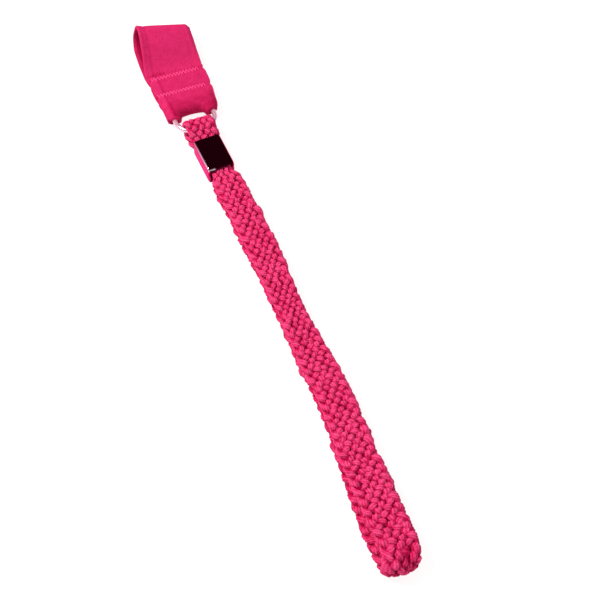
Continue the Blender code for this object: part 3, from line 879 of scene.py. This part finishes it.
SEAM_WIDTH = 17.4 * MM
SEAM_LEFT = SLEEVE_X - 0.9 * MM - SEAM_WIDTH / 2
# one stitch: the share of its way, and how far the thread is above the band there, in mm
STITCH = ((0.0, -0.22), (0.12, 0.05), (0.5, 0.16), (0.88, 0.05))


def make_thread(name, seam_y, face_z, away, sizes, finish):
    """One thread of a zigzag seam: it arches from hole to hole on one face of the band and dips into each hole."""
    holes = round(SEAM_WIDTH / sizes.stitch_length)
    spline_points = []
    for n in range(holes):
        x0, x1 = (SEAM_LEFT + SEAM_WIDTH * k / holes for k in (n, n + 1))
        low, high = (-1, 1) if n % 2 else (1, -1)
        for t, lift in STITCH:
            y = seam_y + sizes.stitch_height / 2 * (low + (high - low) * t)
            spline_points.append((x0 + (x1 - x0) * t, y, face_z + away * lift * MM))
    curve = bpy.data.curves.new(name, "CURVE")
    curve.dimensions = "3D"
    curve.bevel_depth = sizes.thread / 2
    curve.bevel_resolution = 2
    curve.use_fill_caps = True
    curve.resolution_u = 3
    spline = curve.splines.new("NURBS")
    spline.points.add(len(spline_points) - 1)
    spline.use_endpoint_u = True
    spline.order_u = 4
    for point, place in zip(spline.points, spline_points):
        point.co = (*place, 1.0)
    thread = new_object(name, curve)
    activate(thread)
    bpy.ops.object.convert(target="MESH")
    thread = bpy.context.active_object
    thread.data.materials.append(finish)
    bpy.ops.object.shade_smooth()
    return thread


class WRISTSTRAP_OT_seams(Operator):
    """Sew the two zigzag seams, each with its needle thread and its bobbin thread"""

    bl_idname = "wriststrap.seams"
    bl_label = "Make seams"

    def execute(self, context):
        sizes, colours = settings(context)
        finish = cloth_finish(
            "sewing_thread", colours.thread, colours.braid_shade, None, patches=900.0,
            fibres=(6000.0, 6000.0, 6000.0), amounts=(0.3, 0.35), rough=0.6, height=10e-6,
        )
        top = FLAP_Z + sizes.band_thickness / 2 - 0.22 * MM
        below = BACK_Z - sizes.band_thickness / 2 + 0.10 * MM
        for seam, y in (("upper_seam", UPPER_SEAM_Y), ("lower_seam", LOWER_SEAM_Y)):
            for side, face, away in (("needle", top, 1), ("bobbin", below, -1)):
                thread = make_thread(f"{seam}_{side}_stitches", y, face, away, sizes, finish)
                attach(thread, "sleeve")
                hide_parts(f"{seam}_{side}_thread")
        return {"FINISHED"}


# -------- D-ring


class WRISTSTRAP_OT_ring(Operator):
    """Bend the wire of the D-ring"""

    bl_idname = "wriststrap.ring"
    bl_label = "Make D-ring"

    def execute(self, context):
        sizes, colours = settings(context)
        half, drop = 7.0 * MM, BAR_Y - RING_FOOT_Y
        top_corner, foot_corner = 1.8 * MM, 5.6 * MM
        deselect()
        bpy.ops.mesh.primitive_circle_add(
            vertices=20, radius=sizes.ring_wire / 2, location=(SLEEVE_X, BAR_Y, BAR_Z), rotation=(0, pi / 2, 0)
        )
        ring = context.active_object
        ring.name = "d_ring_wire"
        bpy.ops.object.transform_apply(location=True, rotation=True, scale=True)
        bpy.ops.object.mode_set(mode="EDIT")
        bpy.ops.mesh.select_all(action="SELECT")

        def straight(x, y, cuts=1):
            for _ in range(cuts):
                bpy.ops.mesh.extrude_region_move(TRANSFORM_OT_translate={"value": (x / cuts, y / cuts, 0)})

        def corner(x, y, angle, steps):
            bpy.ops.mesh.spin(steps=steps, angle=angle, center=(x, y, BAR_Z), axis=(0, 0, 1))

        straight(half - top_corner, 0, 4)
        corner(SLEEVE_X + half - top_corner, BAR_Y - top_corner, pi / 2, 8)
        straight(0, -(drop - top_corner - foot_corner), 3)
        corner(SLEEVE_X + half - foot_corner, BAR_Y - drop + foot_corner, pi / 2, 16)
        straight(-2 * (half - foot_corner), 0, 2)
        corner(SLEEVE_X - half + foot_corner, BAR_Y - drop + foot_corner, pi / 2, 16)
        straight(0, drop - top_corner - foot_corner, 3)
        corner(SLEEVE_X - half + top_corner, BAR_Y - top_corner, pi / 2, 8)
        straight(half - top_corner, 0, 4)
        bpy.ops.mesh.select_all(action="SELECT")
        bpy.ops.mesh.remove_doubles(threshold=0.02 * MM)
        bpy.ops.mesh.normals_make_consistent(inside=False)
        # the ring lies on the slope between its bar and its foot
        slope = (RING_FOOT_Z - BAR_Z) / drop
        shape = bmesh.from_edit_mesh(ring.data)
        for vert in shape.verts:
            vert.co.z += (BAR_Y - vert.co.y) * slope
        bmesh.update_edit_mesh(ring.data)
        bpy.ops.object.mode_set(mode="OBJECT")
        bpy.ops.object.shade_smooth()
        ring.data.materials.append(chrome_finish(colours))
        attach(ring, "ring")
        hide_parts("d_ring")
        return {"FINISHED"}


# -------- crimp


CRIMP_HEIGHT = CRIMP_BOX[1].z - CRIMP_BOX[0].z
CRIMP_MIDDLE_Y = CRIMP_TOP_Y - CRIMP_LENGTH / 2
CRIMP_MIDDLE = Vector((SLEEVE_X + float(along(PLAN, CRIMP_MIDDLE_Y)), CRIMP_MIDDLE_Y, CRIMP_HEIGHT / 2))
CRIMP_TURN = radians(4.0)
CRIMP_CORNER = 0.6 * MM
CRIMP_GAP = 0.5 * MM  # between the sheet's two edges, under the braid
LIP = 1.5 * MM  # how much of each end is rolled in
LIP_CUTS = 6


def roll_lips(crimp):
    """Brings both ends of the crimp in towards the braid, the far one more."""
    shape = bmesh.from_edit_mesh(crimp.data)
    for vert in shape.verts:
        out = vert.co - CRIMP_MIDDLE
        rolled = (1 - min((CRIMP_LENGTH / 2 - abs(out.y)) / LIP, 1.0)) ** 2
        amount = 0.45 * MM if out.y < 0 else 0.2 * MM
        vert.co.z -= amount * rolled * (1 if out.z > 0 else -0.4)
        vert.co.x -= amount * 0.3 * rolled * (1 if out.x > 0 else -1)
    bmesh.update_edit_mesh(crimp.data)


def mark_crimp(crimp, width):
    """Notes on each point whether it is on a narrow side, which gets the painted reflection, and how much painted glint
    it gets: on the left corner and the far lip.
    """
    along_crimp = Vector((-sin(CRIMP_TURN), cos(CRIMP_TURN), 0.0))
    across_crimp = Vector((cos(CRIMP_TURN), sin(CRIMP_TURN), 0.0))
    side, painted_glint = [], []
    for vert in crimp.data.vertices:
        to_right = (vert.co - CRIMP_MIDDLE).dot(across_crimp)
        inwards = width / 2 - abs(to_right)
        # painted reflection on the narrow sides
        side.append(float(ease((0.45 * MM - inwards) / (0.25 * MM))))
        under = CRIMP_HEIGHT - vert.co.z
        down = (CRIMP_MIDDLE - vert.co).dot(along_crimp) / CRIMP_LENGTH + 0.5
        # painted glint: along the left corner, stronger towards the far end, and on the left part of the far lip
        on_corner = abs(inwards - 0.2 * MM) < 0.12 * MM and under < 0.5 * MM and to_right < 0
        on_lip = down > 0.97 and under < 0.9 * MM and to_right < -width / 4
        painted_glint.append(min(1.0, 0.2 + down) if on_corner else 0.9 if on_lip else 0.0)
    point_values(crimp, "side", side)
    point_values(crimp, "painted_glint", painted_glint)


class WRISTSTRAP_OT_crimp(Operator):
    """Wrap the crimp's sheet round the braid"""

    bl_idname = "wriststrap.crimp"
    bl_label = "Make crimp"

    def execute(self, context):
        sizes, colours = settings(context)
        middle_x, middle_y, _ = CRIMP_MIDDLE
        deselect()
        bpy.ops.mesh.primitive_cube_add(size=1.0, location=CRIMP_MIDDLE)
        crimp = context.active_object
        crimp.name = "crimp_sheet"
        crimp.scale = (sizes.crimp_width, CRIMP_LENGTH, CRIMP_HEIGHT)
        bpy.ops.object.transform_apply(location=True, rotation=True, scale=True)
        bpy.ops.object.mode_set(mode="EDIT")
        select_where(crimp, "FACE", lambda f: abs(f.normal.y) > 0.9)
        bpy.ops.mesh.delete(type="FACE")
        select_where(crimp, "EDGE", lambda e: abs((e.verts[0].co - e.verts[1].co).y) > CRIMP_LENGTH / 2)
        bpy.ops.mesh.bevel(offset=CRIMP_CORNER, segments=6, profile=0.5)
        for cut in (-CRIMP_GAP / 2, CRIMP_GAP / 2):
            select_where(crimp, "FACE", lambda f: f.normal.z < -0.9)
            bpy.ops.mesh.bisect(plane_co=(middle_x + cut, 0, 0), plane_no=(1, 0, 0))
        select_where(
            crimp, "FACE",
            lambda f: f.normal.z < -0.9 and abs(f.calc_center_median().x - middle_x) < CRIMP_GAP / 2,
        )
        bpy.ops.mesh.delete(type="FACE")
        cut_through([(0, 0, level) for level in (1.0 * MM, CRIMP_HEIGHT - 1.0 * MM)], (0, 0, 1))
        # the top face is cut beside its left corner and round the lips, so that the painted glints stay small
        cut_through([(middle_x + cut * sizes.crimp_width, 0, 0) for cut in (-0.30, -0.22, -0.12)], (1, 0, 0))
        steps = [LIP * k / LIP_CUTS for k in range(1, LIP_CUTS + 1)]
        cuts = [-CRIMP_LENGTH / 2 + step for step in steps] + [CRIMP_LENGTH / 2 - step for step in steps]
        cut_through([(0, middle_y + cut, 0) for cut in cuts + [-3.5 * MM, 0.0, 3.5 * MM]], (0, 1, 0))
        roll_lips(crimp)
        bpy.ops.mesh.select_all(action="SELECT")
        bpy.ops.transform.rotate(value=-CRIMP_TURN, orient_axis="Z", center_override=CRIMP_MIDDLE)
        bpy.ops.object.mode_set(mode="OBJECT")
        wall = crimp.modifiers.new("wall", "SOLIDIFY")
        wall.thickness = sizes.crimp_sheet
        wall.offset = -1.0
        bpy.ops.object.modifier_apply(modifier="wall")
        soft = crimp.modifiers.new("soft_edges", "BEVEL")
        soft.width = 0.16 * MM
        soft.segments = 3
        soft.limit_method = "ANGLE"
        soft.angle_limit = radians(50)
        bpy.ops.object.modifier_apply(modifier="soft_edges")
        bpy.ops.object.shade_smooth_by_angle(angle=radians(40))
        crimp.data.materials.append(crimp_finish(colours))
        mark_crimp(crimp, sizes.crimp_width)
        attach(crimp, "strap")
        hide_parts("crimp")
        return {"FINISHED"}


# -------- panel and run


MAKERS = ("stage", "braid", "ring", "sleeve", "seams", "crimp")


class WRISTSTRAP_PT_make(Panel):
    """Lists the strap's sizes, colours and makers"""

    bl_idname = "WRISTSTRAP_PT_make"
    bl_label = "Wrist strap"
    bl_space_type = "VIEW_3D"
    bl_region_type = "UI"
    bl_category = "Wrist strap"

    def draw(self, context):
        for group in settings(context):
            box = self.layout.box()
            for name in group.__annotations__:
                box.prop(group, name)
        for name in MAKERS:
            self.layout.operator(f"wriststrap.{name}")


CLASSES = (
    StrapSizes, StrapColours, WRISTSTRAP_OT_stage, WRISTSTRAP_OT_braid, WRISTSTRAP_OT_ring,
    WRISTSTRAP_OT_sleeve, WRISTSTRAP_OT_seams, WRISTSTRAP_OT_crimp, WRISTSTRAP_PT_make,
)


def register():
    for kind in CLASSES:
        bpy.utils.register_class(kind)
    bpy.types.Scene.strap_sizes = PointerProperty(type=StrapSizes)
    bpy.types.Scene.strap_colours = PointerProperty(type=StrapColours)


def unregister():
    del bpy.types.Scene.strap_sizes
    del bpy.types.Scene.strap_colours
    for kind in reversed(CLASSES):
        bpy.utils.unregister_class(kind)


def main():
    register()
    for name in MAKERS:
        getattr(bpy.ops.wriststrap, name)()


if __name__ == "__main__":
    main()
